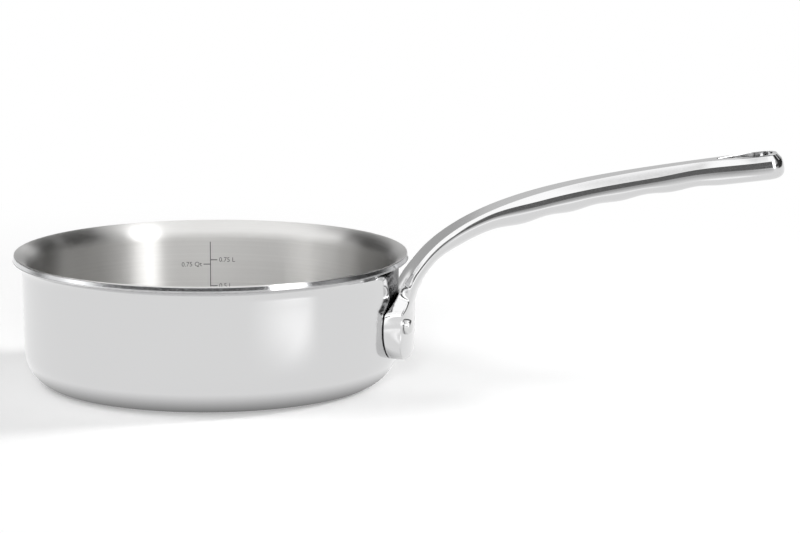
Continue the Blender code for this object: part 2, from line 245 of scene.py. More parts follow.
buffed = {
    "tone": (0.66, 0.66, 0.6633),
    "roughness": 0.11,
    "roughnessSpread": (0.4, 1.1, 0.088, 0.1485),
    "rings": (2600, 0.004, 3.0),
    "ringShare": 0.5,
    "haze": (35, 3.0),
    "relief": 0.0000004,
}


def mirrorSteel():
    # Outside of the body: buffed bright, with faint rings left by the wheel
    material, tree, shader = newMaterial("buffedSteel", buffed)
    place, parts, radius = ringPlace(tree)
    rings = ringNoise(tree, radius, parts, *buffed["rings"])
    haze = noise(tree, place, *buffed["haze"])
    spreadRoughness(tree, shader, blend(tree, rings, buffed["ringShare"], haze), buffed)
    bump(tree, shader, rings, buffed["relief"])
    return material


def ringTangent(tree, parts):
    # The way round the axis, which the brushed lines follow
    back = mathNode(tree, "MULTIPLY", parts[1], -1.0)
    around = outputOf(tree, "ShaderNodeCombineXYZ", {0: back, 1: parts[0]})
    inWorld = outputOf(
        tree,
        "ShaderNodeVectorTransform",
        {0: around},
        vector_type="VECTOR",
        convert_from="OBJECT",
        convert_to="WORLD",
    )
    return outputOf(tree, "ShaderNodeVectorMath", {0: inWorld}, operation="NORMALIZE")


brushed = {
    "tone": (0.66, 0.655, 0.645),
    "roughness": 0.34,
    "roughnessSpread": (0.45, 1.15, 0.289, 0.408),
    "toneSpread": (0.55, 1.1, 0.95, 1.03),
    "lines": (9000, 0.0012, 2.0),
    "lineShare": 0.6,
    "bands": (900, 0.01, 4.0),
    "stretch": 1.0,
    # across the brushed lines
    "stretchTurn": 0.25,
    "relief": 0.0000016,
}


def brushedSteel():
    # Inside of the body: brushed round the axis
    material, tree, shader = newMaterial("brushedSteel", brushed)
    _, parts, radius = ringPlace(tree)
    lines = ringNoise(tree, radius, parts, *brushed["lines"])
    bands = ringNoise(tree, radius, parts, *brushed["bands"])
    tree.links.new(ringTangent(tree, parts), shader.inputs["Tangent"])
    shader.inputs["Anisotropic"].default_value = brushed["stretch"]
    shader.inputs["Anisotropic Rotation"].default_value = brushed["stretchTurn"]
    streaks = blend(tree, lines, brushed["lineShare"], bands)
    spreadRoughness(tree, shader, streaks, brushed)
    shade = mapRange(tree, streaks, *brushed["toneSpread"])
    scaled = {0: brushed["tone"], "Scale": shade}
    tone = outputOf(tree, "ShaderNodeVectorMath", scaled, operation="SCALE")
    tree.links.new(tone, shader.inputs["Base Color"])
    bump(tree, shader, lines, brushed["relief"])
    return material


cast = {
    "tone": (0.66, 0.66, 0.6633),
    "roughness": 0.10,
    "roughnessSpread": (0.3, 0.75, 0.07, 0.16),
    "waves": (160, 2.0),
    "haze": (900, 3.0),
    "relief": 0.000003,
}


def castSteel():
    # Handle: cast, ground and polished, with a trace of waviness left in it
    material, tree, shader = newMaterial("polishedCasting", cast)
    place = objectPlace(tree)
    spreadRoughness(tree, shader, noise(tree, place, *cast["haze"]), cast)
    bump(tree, shader, noise(tree, place, *cast["waves"]), cast["relief"])
    return material


pressed = {
    "tone": (0.68, 0.68, 0.68),
    "roughness": 0.12,
    "roughnessSpread": (0.3, 0.75, 0.08, 0.2),
    "pits": (1400, 4.0),
    "relief": 0.000002,
}


def rivetSteel():
    # Rivets: pressed bright, with fine pits
    material, tree, shader = newMaterial("rivetSteel", pressed)
    pits = noise(tree, objectPlace(tree), *pressed["pits"])
    spreadRoughness(tree, shader, pits, pressed)
    bump(tree, shader, pits, pressed["relief"])
    return material


ground = {
    "tone": (0.66, 0.665, 0.675),
    "roughness": 0.12,
    "roughnessSpread": (0.3, 0.75, 0.09, 0.17),
    "cut": (5200, 0.01, 3.0),
    "haze": (1200, 3.0),
    "relief": 0.000001,
}


def polishedCore():
    # Core: seen only in the edge of the rim, which is ground square and polished
    material, tree, shader = newMaterial("polishedCore", ground)
    place, parts, radius = ringPlace(tree)
    spreadRoughness(tree, shader, noise(tree, place, *ground["haze"]), ground)
    bump(tree, shader, ringNoise(tree, radius, parts, *ground["cut"]), ground["relief"])
    return material


ink = {
    "tone": (0.05, 0.05, 0.055),
    "wornTone": (0.18, 0.18, 0.18),
    "roughness": 0.55,
    "wear": (2600, 4.0),
    "wearSpan": (0.35, 0.8),
}


def etchedInk():
    # Marks inside: a thin grey oxide, a little worn
    material, tree, shader = newMaterial("etchedMarks", ink, 0.0)
    ramp = addNode(tree, "ShaderNodeValToRGB", {0: noise(tree, objectPlace(tree), *ink["wear"])})
    tones = (ink["tone"], ink["wornTone"])
    for stop, position, tone in zip(ramp.color_ramp.elements, ink["wearSpan"], tones):
        stop.position = position
        stop.color = (*tone, 1.0)
    tree.links.new(ramp.outputs[0], shader.inputs["Base Color"])
    return material


# Body of the pan: three plies turned from one profile

panBody = {
    "cookingRadius": 0.080,
    "panHeight": 0.0578,
    "innerSkin": 0.0004,
    "core": 0.0018,
    "outerSkin": 0.0004,
    "bondGap": 0.00005,
    "cornerRadius": 0.016,
    "wallDraft": math.radians(1.0),
    "flareRadius": 0.0058,
    "lipOverhang": 0.0043,
    "rimRounding": 0.00022,
    "plyRounding": 0.00006,
    "roundingSteps": 4,
    # points closer to a rounded corner than this many roundings are left out
    "roundingClears": 1.5,
    # where the flat edge of a ply gets points that keep it flat
    "edgeHolds": (0.08, 0.5, 0.92),
    "turnSteps": 256,
    "arcSteps": 22,
    "wallRows": 12,
}
wallSlope = math.pi / 2 - panBody["wallDraft"]
wallThickness = (
    panBody["outerSkin"] + panBody["core"] + panBody["innerSkin"] + 2 * panBody["bondGap"]
)
lipRadius = panBody["cookingRadius"] + wallThickness + panBody["lipOverhang"]


def flareCentre():
    bend = panBody["flareRadius"] + wallThickness
    radius = panBody["cookingRadius"] + bend * math.sin(wallSlope)
    return radius, panBody["panHeight"] - bend * math.cos(lipSlope(radius))


def lipSlope(radius):
    # Slope at which every ply ends, so that the rim's edge is square to the flare
    return math.asin((radius - lipRadius) / panBody["flareRadius"])


def outerWallRadius(height):
    radius, level = flareCentre()
    flare = panBody["flareRadius"]
    startRadius = radius - flare * math.sin(wallSlope)
    startLevel = level + flare * math.cos(wallSlope)
    return startRadius - (startLevel - height) * math.tan(panBody["wallDraft"])


def bodySurface(inset):
    # Radius and height from the axis out to the lip, that far inside the outer surface
    corner = panBody["cornerRadius"]
    steps = panBody["arcSteps"] + 1
    cornerEnd = corner * (1 - math.cos(wallSlope))
    cornerAxis = outerWallRadius(cornerEnd) - corner * math.sin(wallSlope)
    bend = corner - inset
    points = [(0.0, inset)]
    for slope in np.linspace(0, wallSlope, steps):
        points.append((cornerAxis + bend * math.sin(slope), corner - bend * math.cos(slope)))
    radius, level = flareCentre()
    bend = panBody["flareRadius"] + inset
    flare = [
        (radius - bend * math.sin(slope), level + bend * math.cos(slope))
        for slope in np.linspace(wallSlope, lipSlope(radius), steps)
    ]
    foot = np.array(points[-1])
    top = np.array(flare[0])
    for share in np.linspace(0, 1, panBody["wallRows"] + 1)[1:-1]:
        points.append(tuple(foot + (top - foot) * share))
    return points + flare


def roundedCorner(before, corner, after, radius):
    # Points of a small arc in place of the corner, or along the line where it is straight
    count = panBody["roundingSteps"] + 1
    before, corner, after = (np.array(point, float) for point in (before, corner, after))
    inward = (before - corner) / np.linalg.norm(before - corner)
    outward = (after - corner) / np.linalg.norm(after - corner)
    if np.linalg.norm(inward + outward) < closeness["straight"]:
        return [tuple(corner + outward * radius * share) for share in np.linspace(-0.5, 0.5, count)]
    half = math.acos(float(np.clip(np.dot(inward, outward), -1, 1))) / 2
    middle = (inward + outward) / np.linalg.norm(inward + outward)
    centre = corner + middle * radius / math.sin(half)
    start = corner + inward * radius / math.tan(half)
    end = corner + outward * radius / math.tan(half)
    sweep = math.pi - 2 * half
    arc = []
    for share in np.linspace(0, 1, count):
        weight = math.sin((1 - share) * sweep), math.sin(share * sweep)
        arm = (weight[0] * (start - centre) + weight[1] * (end - centre)) / math.sin(sweep)
        arc.append(tuple(centre + arm))
    return arc


def clearOf(points, corner, rounding):
    return [p for p in points if math.dist(p, corner) > panBody["roundingClears"] * rounding]


def plyProfile(inset, thickness, outerRounding, innerRounding):
    outside = bodySurface(inset)
    inside = bodySurface(inset + thickness)
    outerCorner, innerCorner = outside[-1], inside[-1]
    outside = clearOf(outside[:-1], outerCorner, outerRounding)
    inside = clearOf(inside[:-1], innerCorner, innerRounding)
    lower = roundedCorner(outside[-1], outerCorner, innerCorner, outerRounding)
    upper = roundedCorner(outerCorner, innerCorner, inside[-1], innerRounding)
    start, end = np.array(lower[-1]), np.array(upper[0])
    edge = [tuple(start + (end - start) * share) for share in panBody["edgeHolds"]]
    return outside + lower + edge + upper + inside[::-1]


def turnedTree():
    # Turns a line of radius and height round the Z axis
    tree, given = newTree("turnedPiece", [("Turn Steps", "Int"), ("Material", "Material")])
    count = addNode(
        tree, "GeometryNodeAttributeDomainSize", {"Geometry": given["Geometry"]}
    ).outputs["Point Count"]
    columns = mathNode(tree, "ADD", given["Turn Steps"], 1.0)
    grid = addNode(tree, "GeometryNodeMeshGrid", {"Vertices X": count, "Vertices Y": columns})
    index = outputOf(tree, "GeometryNodeInputIndex")
    rowEnd = mathNode(tree, "DIVIDE", mathNode(tree, "ADD", index, 0.5), columns)
    row = mathNode(tree, "FLOOR", rowEnd)
    column = mathNode(tree, "SUBTRACT", index, mathNode(tree, "MULTIPLY", row, columns))
    place = addNode(
        tree,
        "GeometryNodeSampleIndex",
        {"Geometry": given["Geometry"], "Index": row},
        data_type="FLOAT_VECTOR",
    )
    position = outputOf(tree, "GeometryNodeInputPosition")
    valueSocket = next(s for s in place.inputs if s.name == "Value" and s.enabled)
    tree.links.new(position, valueSocket)
    share = mathNode(tree, "DIVIDE", column, given["Turn Steps"])
    spun = outputOf(
        tree,
        "ShaderNodeVectorRotate",
        {
            "Vector": next(s for s in place.outputs if s.enabled),
            "Angle": mathNode(tree, "MULTIPLY", share, math.tau),
        },
        rotation_type="Z_AXIS",
    )
    inputs = {"Geometry": grid.outputs["Mesh"], "Position": spun}
    moved = outputOf(tree, "GeometryNodeSetPosition", inputs)
    inputs = {"Geometry": moved, "Distance": closeness["pole"]}
    endTree(tree, outputOf(tree, "GeometryNodeMergeByDistance", inputs), given["Material"])
    return tree


def makeDrills():
    # The rivet holes, punched through every ply and the flange
    drills = []
    radius = rivets["shankRadius"] + rivets["shankClearance"]
    for side in (-1, 1):
        bm = bmesh.new()
        bmesh.ops.create_cone(
            bm,
            cap_ends=True,
            segments=rivets["drillSides"],
            radius1=radius,
            radius2=radius,
            depth=rivets["drillLength"],
        )
        bmesh.ops.translate(bm, verts=bm.verts, vec=(0, 0, outerWallRadius(rivets["height"])))
        bmesh.ops.transform(bm, verts=bm.verts, matrix=rivetPlace(side * rivetAngle()))
        drills.append(closeMesh("rivetDrill", bm))
    return drills


def punched(mesh, cutters):
    # The mesh with each cutter taken out of it
    work = addObject("punched", mesh)
    tools = [addObject("punch", cutter) for cutter in cutters]
    for tool in tools:
        modifier = work.modifiers.new("punch", "BOOLEAN")
        modifier.operation = "DIFFERENCE"
        modifier.object = tool
    result = finalMesh(work)
    for item in [work, *tools]:
        bpy.data.objects.remove(item)
    return result


def makeBody(drills, outerFinish, coreFinish, innerFinish):
    tree = turnedTree()
    coreInset = panBody["outerSkin"] + panBody["bondGap"]
    innerInset = coreInset + panBody["core"] + panBody["bondGap"]
    rim = panBody["rimRounding"]
    seam = panBody["plyRounding"]
    plies = [
        ("outerSkin", "outer_steel_skin", 0.0, panBody["outerSkin"], rim, seam, outerFinish),
        ("aluminiumCore", "aluminium_core", coreInset, panBody["core"], seam, seam, coreFinish),
        ("innerSkin", "inner_steel_skin", innerInset, panBody["innerSkin"], seam, rim, innerFinish),
    ]
    for name, node, inset, thickness, outerRounding, innerRounding, finish in plies:
        profile = plyProfile(inset, thickness, outerRounding, innerRounding)
        line = lineMesh(name + "Profile", profile)
        mesh = grow(name, line, tree, {"Turn Steps": panBody["turnSteps"], "Material": finish})
        placePiece(name, punched(mesh, drills), [node])


# Handle: one casting, lofted along its course

handle = {
    "seatGap": 0.0003,
    "flangeBottom": 0.0137,
    "leavesWallAt": 0.0331,
    "run": 0.1930,
    "bendLength": 0.0403,
    "tipSlope": math.radians(6.05),
    "bendFlattensBy": 0.0233,
    "flangeHalfWidth": 0.034,
    "lobeRadius": 0.015,
    "flangeDepth": 0.0070,
    "flangeBottomDepth": 0.0066,
    "flangeEdgeDepth": 0.0060,
    "flangeEdgeLean": 0.0055,
    "flangeBottomEdgeDepth": 0.0050,
    "edgeRunsInBy": 0.0030,
    "depthRunsInBy": 0.0015,
    "flangeSideFall": 0.0003,
    "shoulderEdgeDepth": 0.0044,
    "shoulderReach": -0.0003,
    "throatEdgeDepth": 0.0022,
    "shoulderStartShare": 0.97,
    "shoulderSweep": [(0.22, 0.90), (0.45, 0.60), (0.70, 0.31), (1.00, 0.10)],
    "throatHalfWidth": 0.0196,
    # half width, depth and reach of the chamfer, fall and bulge of the side below it
    "neck": (0.0113, 0.0013, 0.0012, 0.0010, 0.0003),
    "waist": (0.0075, 0.0028, 0.0030, 0.0029, 0.0008),
    "grip": (0.0047, 0.0033, 0.0040, 0.0026, 0.0007),
    "eyeNeck": (0.0043, 0.0026, 0.0031),
    "eye": (0.0082, 0.0026, 0.0024, 0.0034, 0.0010),
    "eyeCrown": 0.0005,
    "throatSideFall": 0.0008,
    "sideRounding": 1.7,
    "flangeSquareness": 4.0,
    "neckSquareness": 2.2,
    "eyeSquareness": 3.4,
    "throatDepth": 0.0064,
    "neckDepth": 0.0079,
    "gripStartDepth": 0.0090,
    "firstRidgeDepth": 0.0116,
    "waistDepth": 0.0123,
    "gripDepth": 0.0116,
    "eyeDepth": 0.0114,
    "tipRounding": 0.0072,
    "tipChamferReach": 0.0018,
    "tipSquareness": 2.4,
    "firstRidge": 0.0750,
    "ridgePitch": 0.0227,
    "grooves": 4,
    "grooveDepth": 0.0008,
    "eyeStart": 0.1650,
    "eyeEnd": 0.1893,
    "eyeRadius": 0.0068,
    "eyePointRadius": 0.0010,
    "eyeRounding": 0.0004,
    "arrisRounding": 0.0003,
    "endRounding": 0.0006,
    # how finely it is lofted: shares of the top and of the side, steps and counts of steps
    "topShares": (0, 0.2, 0.4, 0.6, 0.8, 0.93),
    "arrisAimsAt": 0.4,
    "sideSteps": 6,
    "bellySteps": 20,
    "endSteps": 5,
    "lobeSteps": 23,
    "flangeStep": 0.0010,
    "shoulderStep": 0.0005,
    "neckStep": 0.0012,
    "stepsPerRidge": 18,
    "tipSteps": 48,
    "eyeArcSteps": 48,
    "eyePointSteps": 12,
    "eyeRoundingSteps": 5,
    "pathStep": 0.00025,
}

# Distances along the handle where its section is set, from where it leaves the wall
flangeStart = handle["flangeBottom"] - handle["leavesWallAt"]
lobeCentre = flangeStart + handle["lobeRadius"]
shoulderStart = -0.0010
shoulder = 0.0078
throat = 0.0140
neckChamferStart = 0.0200
neckUnderside = 0.0280
neck = 0.0440
gripStart = 0.0600
waist = 0.0860
fullWaist = 0.1000
grip = 0.1350
eyeNeck = 0.1560
eye = handle["eyeEnd"] - handle["eyeRadius"]
tipCentre = handle["run"] - handle["tipRounding"]


def handleCourse():
    step = handle["pathStep"]
    along = np.arange(flangeStart, handle["run"] + step, step)
    fade = np.exp(-np.maximum(along, 0) / handle["bendLength"])
    slope = handle["tipSlope"] + (wallSlope - handle["tipSlope"]) * fade
    middle = (slope[1:] + slope[:-1]) / 2
    x = np.concatenate([[0], np.cumsum(np.cos(middle))]) * step
    z = np.concatenate([[0], np.cumsum(np.sin(middle))]) * step
    seat = outerWallRadius(handle["flangeBottom"]) + handle["seatGap"]
    return along, x + seat, z + handle["flangeBottom"], slope


course = handleCourse()


def courseFrame(along):
    # Point on the top line, the way it runs and the way down into the metal
    distances, xs, zs, slopes = course
    slope = float(np.interp(along, distances, slopes))
    point = Vector((np.interp(along, distances, xs), 0, np.interp(along, distances, zs)))
    run = Vector((math.cos(slope), 0, math.sin(slope)))
    down = Vector((math.sin(slope), 0, -math.cos(slope)))
    return point, run, down


def through(stations, along):
    # Smooth value through stations of (distance, value) that never overshoots them
    xs, ys = (np.array(column, float) for column in zip(*stations))
    steps = np.diff(xs)
    rates = np.diff(ys) / steps
    slopes = np.zeros(len(xs))
    for i in range(1, len(xs) - 1):
        if rates[i - 1] * rates[i] > 0:
            before = 2 * steps[i] + steps[i - 1]
            after = steps[i] + 2 * steps[i - 1]
            slopes[i] = (before + after) / (before / rates[i - 1] + after / rates[i])
    i = int(np.clip(np.searchsorted(xs, along) - 1, 0, len(steps) - 1))
    t = float(np.clip((along - xs[i]) / steps[i], 0, 1))
    start = ys[i] * (1 + 2 * t) * (1 - t) ** 2 + slopes[i] * steps[i] * t * (1 - t) ** 2
    end = ys[i + 1] * t * t * (3 - 2 * t) + slopes[i + 1] * steps[i] * t * t * (t - 1)
    return start + end


def topHalfWidth(along):
    wide = handle["flangeHalfWidth"]
    lobe = handle["lobeRadius"]
    if along < lobeCentre:
        drop = min(lobeCentre - along, lobe)
        return wide - lobe + math.sqrt(lobe**2 - drop**2)
    narrow = handle["throatHalfWidth"]
    sweep = wide - narrow
    stations = [(lobeCentre, wide), (shoulderStart, narrow + handle["shoulderStartShare"] * sweep)]
    stations += [(at * shoulder, narrow + share * sweep) for at, share in handle["shoulderSweep"]]
    stations.append((throat, narrow))
    places = [(neck, "neck"), (waist, "waist"), (grip, "grip"), (eyeNeck, "eyeNeck"), (eye, "eye")]
    return through(stations + [(at, handle[name][0]) for at, name in places], along)


def chamfer(along):
    # Depth of the chamfer, and how far its lower edge stands out past the top
    edge = handle["flangeEdgeDepth"]
    lean = -handle["flangeEdgeLean"]
    depths = [(flangeStart, handle["flangeBottomEdgeDepth"])]
    depths += [(flangeStart + handle["edgeRunsInBy"], edge), (shoulderStart, edge)]
    depths += [(shoulder, handle["shoulderEdgeDepth"]), (throat, handle["throatEdgeDepth"])]
    depths += [(neckChamferStart, handle["neck"][1])]
    reaches = [(flangeStart, 0.0), (lobeCentre, lean), (shoulderStart, lean)]
    reaches += [(shoulder, handle["shoulderReach"]), (throat, handle["neck"][2])]
    places = [(gripStart, "neck"), (waist, "waist"), (grip, "grip")]
    for at, name in places + [(eyeNeck, "eyeNeck"), (eye, "eye")]:
        depths.append((at, handle[name][1]))
        reaches.append((at, handle[name][2]))
    return through(depths, along), through(reaches, along)


def sideEdge(along):
    # Lower edge of the bulging side below the chamfer: distance from the middle, and depth
    falls = [(shoulder, handle["flangeSideFall"]), (throat, handle["throatSideFall"])]
    bulges = [(throat, 0.0)]
    for at, name in [(neck, "neck"), (waist, "waist"), (grip, "grip"), (eye, "eye")]:
        falls.append((at, handle[name][3]))
        bulges.append((at, handle[name][4]))
    depth, reach = chamfer(along)
    return topHalfWidth(along) + reach + through(bulges, along), depth + through(falls, along)


def sectionDepth(along):
    stations = [
        (flangeStart, "flangeBottomDepth"),
        (flangeStart + handle["depthRunsInBy"], "flangeDepth"),
        (shoulderStart, "flangeDepth"),
        (neckUnderside, "throatDepth"),
        (neck, "neckDepth"),
        (gripStart, "gripStartDepth"),
        (handle["firstRidge"], "firstRidgeDepth"),
        (fullWaist, "waistDepth"),
        (grip, "gripDepth"),
        (eye, "eyeDepth"),
    ]
    depth = through([(at, handle[name]) for at, name in stations], along)
    phase = (along - handle["firstRidge"]) / handle["ridgePitch"]
    if 0 < phase < handle["grooves"]:
        depth -= handle["grooveDepth"] * (1 - math.cos(math.tau * phase)) / 2
    return depth


def halfSection(along):
    # Across and depth, from the middle of the top over chamfer and side to the belly's middle
    top = topHalfWidth(along)
    depth = sectionDepth(along)
    sideDepth, reach = chamfer(along)
    side = top + reach
    crown = through([(eyeNeck, 0.0), (eye, handle["eyeCrown"])], along)
    widest, widestDepth = sideEdge(along)
    stations = [(0.0, handle["flangeSquareness"]), (throat, handle["neckSquareness"])]
    stations += [(waist, handle["neckSquareness"]), (eye, handle["eyeSquareness"])]
    power = 2 / through(stations, along)
    radius = handle["arrisRounding"]

    def flank(share):
        bulge = handle["sideRounding"] * share + (1 - handle["sideRounding"]) * share**2
        return side + (widest - side) * bulge, sideDepth + (widestDepth - sideDepth) * share

    belly = []
    for angle in np.linspace(0, math.pi / 2, handle["bellySteps"] + 1):
        fall = (depth - widestDepth) * math.sin(angle) ** power
        belly.append((widest * max(math.cos(angle), 0) ** power, widestDepth + fall))
    points = [(top * share, crown * share**2) for share in handle["topShares"]]
    points += roundedCorner(points[-1], (top, crown), (side, sideDepth), radius)
    middle = ((top + side) / 2, (crown + sideDepth) / 2)
    points.append(middle)
    points += roundedCorner(middle, (side, sideDepth), flank(handle["arrisAimsAt"]), radius)
    start = (points[-1][1] - sideDepth) / (widestDepth - sideDepth)
    points += [flank(share) for share in np.linspace(start, 1, handle["sideSteps"] + 1)[1:-1]]
    points += belly
    points[-1] = (0.0, depth)
    return points


def wallCurve(along):
    share = float(np.clip(along / handle["bendFlattensBy"], 0, 1))
    seat = outerWallRadius(handle["leavesWallAt"]) + handle["seatGap"]
    return (1 - share * share * (3 - 2 * share)) / seat


def sectionPoint(along, across, depth):
    point, _, down = courseFrame(along)
    curve = wallCurve(along)
    if curve < closeness["flat"]:
        return point + down * depth + Vector((0, across, 0))
    angle = across * curve
    radius = 1 / curve + depth
    sunk = radius * math.cos(angle) - 1 / curve
    return point + down * sunk + Vector((0, radius * math.sin(angle), 0))


def sectionPlaces():
    lobe = handle["lobeRadius"]
    first = math.acos(1 - handle["endRounding"] / lobe)
    turns = np.linspace(first, math.pi / 2, handle["lobeSteps"] + 1)[:-1]
    places = [lobeCentre - lobe * math.cos(turn) for turn in turns]
    spans = [(lobeCentre, shoulderStart, handle["flangeStep"])]
    spans += [(shoulderStart, throat, handle["shoulderStep"]), (throat, neck, handle["neckStep"])]
    spans += [(neck, tipCentre, handle["ridgePitch"] / handle["stepsPerRidge"])]
    for start, end, step in spans:
        places += list(np.linspace(start, end, math.ceil((end - start) / step) + 1)[:-1])
    return places + [tipCentre]


def tipPoint(angle, across, depth):
    # Carries the last section's half profile round the squared end
    point, run, down = courseFrame(tipCentre)
    top = topHalfWidth(tipCentre)
    chamferDepth, reach = chamfer(tipCentre)
    side = top + reach
    length = handle["tipRounding"] * across / side
    if depth < chamferDepth:
        flatLength = handle["tipRounding"] - handle["tipChamferReach"]
        length = np.interp(across, [0, top, side], [0, flatLength, handle["tipRounding"]])
    power = handle["tipSquareness"]
    swell = (abs(math.cos(angle)) ** power + abs(math.sin(angle)) ** power) ** (-1 / power)
    sideways = -across * swell * math.cos(angle)
    return point + run * length * swell * math.sin(angle) + down * depth + Vector((0, sideways, 0))


def addRing(bm, along, half):
    # The half section and its mirror image as one closed ring
    outline = [(-across, depth) for across, depth in half] + half[-2:0:-1]
    return [bm.verts.new(sectionPoint(along, *spot)) for spot in outline]


def handleMesh(material):
    bm = bmesh.new()
    rings = []
    rounding = handle["endRounding"]
    for turn in np.linspace(0, math.pi / 2, handle["endSteps"] + 1)[:-1]:
        along = flangeStart + rounding * (1 - math.cos(turn))
        inset = rounding * (1 - math.sin(turn))
        half = halfSection(along)
        narrower = 1 - inset / max(across for across, _ in half)
        thinner = 1 - 2 * inset / half[-1][1]
        shrunk = [(across * narrower, inset + depth * thinner) for across, depth in half]
        rings.append(addRing(bm, along, shrunk))
    rings += [addRing(bm, along, halfSection(along)) for along in sectionPlaces()]
    bridge(bm, rings)
    bm.faces.new(rings[0])

    half = halfSection(tipCentre)
    last = len(half) - 1
    near = rings[-1][: last + 1]
    far = [rings[-1][-i % len(rings[-1])] for i in range(last + 1)]
    fan = [near]
    for angle in np.linspace(0, math.pi, handle["tipSteps"] + 1)[1:-1]:
        middle = [bm.verts.new(tipPoint(angle, *spot)) for spot in half[1:-1]]
        fan.append([near[0], *middle, near[last]])
    fan.append(far)
    for line, following in zip(fan, fan[1:]):
        bm.faces.new((line[0], line[1], following[1]))
        bm.faces.new((line[last - 1], line[last], following[last - 1]))
        for i in range(1, last - 1):
            bm.faces.new((line[i], line[i + 1], following[i + 1], following[i]))
    bmesh.ops.recalc_face_normals(bm, faces=bm.faces)
    return closeMesh("castHandle", bm, material)


def dropOutline(grown):
    # The eye's drop shape, grown by that much all round
    middle = (handle["eyeStart"] + handle["eyeEnd"]) / 2
    big = handle["eyeEnd"] - handle["eyeRadius"] - middle
    small = handle["eyeStart"] + handle["eyePointRadius"] - middle
    lean = math.asin((handle["eyeRadius"] - handle["eyePointRadius"]) / (big - small))
    bigRadius = handle["eyeRadius"] + grown
    smallRadius = handle["eyePointRadius"] + grown
    outline = []
    wide = math.pi / 2 + lean
    for angle in np.linspace(-wide, wide, handle["eyeArcSteps"] + 1):
        outline.append((big + bigRadius * math.cos(angle), bigRadius * math.sin(angle)))
    for angle in np.linspace(wide, math.tau - wide, handle["eyePointSteps"] + 1):
        outline.append((small + smallRadius * math.cos(angle), smallRadius * math.sin(angle)))
    return outline


def eyePunch():
    # Flares out over its last bit at the top, which leaves the eye's edge rounded
    point, run, down = courseFrame((handle["eyeStart"] + handle["eyeEnd"]) / 2)
    rounding = handle["eyeRounding"]
    levels = [(-handle["eyeDepth"], rounding)]
    for turn in np.linspace(0, math.pi / 2, handle["eyeRoundingSteps"] + 1):
        levels.append((rounding * (1 - math.cos(turn)), rounding * (1 - math.sin(turn))))
    levels.append((2 * handle["eyeDepth"], 0.0))
    bm = bmesh.new()
    rings = []
    for depth, grown in levels:
        middle = point + down * depth
        spots = [middle + run * x + Vector((0, y, 0)) for x, y in dropOutline(grown)]
        rings.append([bm.verts.new(spot) for spot in spots])
    bridge(bm, rings)
    bm.faces.new(rings[0])
    bm.faces.new(rings[-1])
    bmesh.ops.recalc_face_normals(bm, faces=bm.faces)
    return closeMesh("eyePunch", bm)


def makeHandle(drills, finish):
    mesh = punched(handleMesh(finish), [eyePunch(), *drills])
    placePiece("castHandle", mesh, ["handle"], sharp=32)


# Rivets: two, square to the wall

rivets = {
    "inset": 0.0105,
    "height": 0.0290,
    "shankRadius": 0.0025,
    "shankClearance": 0.0003,
    "headGap": 0.0003,
    "outerHeadRadius": 0.0034,
    "outerHeadHeight": 0.0022,
    "innerHeadRadius": 0.0046,
    "innerHeadHeight": 0.0014,
    "headSquareness": 0.55,
    # steps from the head's edge to its crown, and how much closer they lie at the crown
    "headSteps": 24,
    "headCrowding": 1.3,
    "headSinks": 0.0001,
    "drillSides": 48,
    "drillLength": 0.05,
    "turnSteps": 72,
}


def rivetAngle():
    seat = outerWallRadius(handle["leavesWallAt"]) + handle["seatGap"]
    return (handle["flangeHalfWidth"] - rivets["inset"]) / seat


def rivetPlace(angle):
    turn = Matrix.Rotation(angle, 4, "Z") @ Matrix.Rotation(math.pi / 2, 4, "Y")
    return Matrix.Translation((0, 0, rivets["height"])) @ turn


def dome(radius, height, base):
    power = rivets["headSquareness"]
    shares = np.linspace(0, 1, rivets["headSteps"] + 1) ** rivets["headCrowding"]
    return [
        (radius * math.sin(angle) ** power, base + height * max(math.cos(angle), 0) ** power)
        for angle in math.pi / 2 * shares
    ]


def rivetTree(turned):
    # Turns the rivet, then sets one copy at each side of the handle
    sockets = [("Turn Steps", "Int"), ("Angle", "Float"), ("Height", "Float")]
    tree, given = newTree("rivetPair", sockets + [("Material", "Material")])
    one = addNode(tree, "GeometryNodeGroup", node_tree=turned)
    for name in ("Geometry", "Turn Steps", "Material"):
        tree.links.new(given[name], one.inputs[name])
    pair = addNode(tree, "GeometryNodePoints", {"Count": 2})
    place = outputOf(tree, "ShaderNodeCombineXYZ", {2: given["Height"]})
    tree.links.new(place, pair.inputs["Position"])
    index = outputOf(tree, "GeometryNodeInputIndex")
    side = mathNode(tree, "SUBTRACT", mathNode(tree, "MULTIPLY", index, 2.0), 1.0)
    turn = mathNode(tree, "MULTIPLY", side, given["Angle"])
    outwards = outputOf(tree, "ShaderNodeCombineXYZ", {1: math.pi / 2, 2: turn})
    copies = outputOf(
        tree,
        "GeometryNodeInstanceOnPoints",
        {"Points": pair.outputs[0], "Instance": one.outputs[0], "Rotation": outwards},
    )
    endTree(tree, copies, given["Material"])
    return tree


def makeRivets(finish):
    # Both heads are seated, while the solids leave a gap under them
    innerSeat = outerWallRadius(rivets["height"]) - wallThickness + rivets["headSinks"]
    outerSeat = outerWallRadius(rivets["height"]) + handle["seatGap"] + handle["flangeDepth"]
    outerSeat -= rivets["headSinks"]
    lift = rivets["headGap"] + rivets["headSinks"]
    head = dome(rivets["outerHeadRadius"], rivets["outerHeadHeight"] + lift, outerSeat)
    foot = dome(rivets["innerHeadRadius"], -rivets["innerHeadHeight"] - lift, innerSeat)
    shank = rivets["shankRadius"]
    profile = head + [(shank, outerSeat), (shank, innerSeat)] + foot[::-1]
    line = lineMesh("rivetProfile", profile)
    values = {
        "Turn Steps": rivets["turnSteps"],
        "Angle": rivetAngle(),
        "Height": rivets["height"],
        "Material": finish,
    }
    mesh = grow("rivets", line, rivetTree(turnedTree()), values)
    placePiece("rivets", mesh, ["rivet_right", "rivet_left"])


# Graduations inside, plain volumes on the far wall

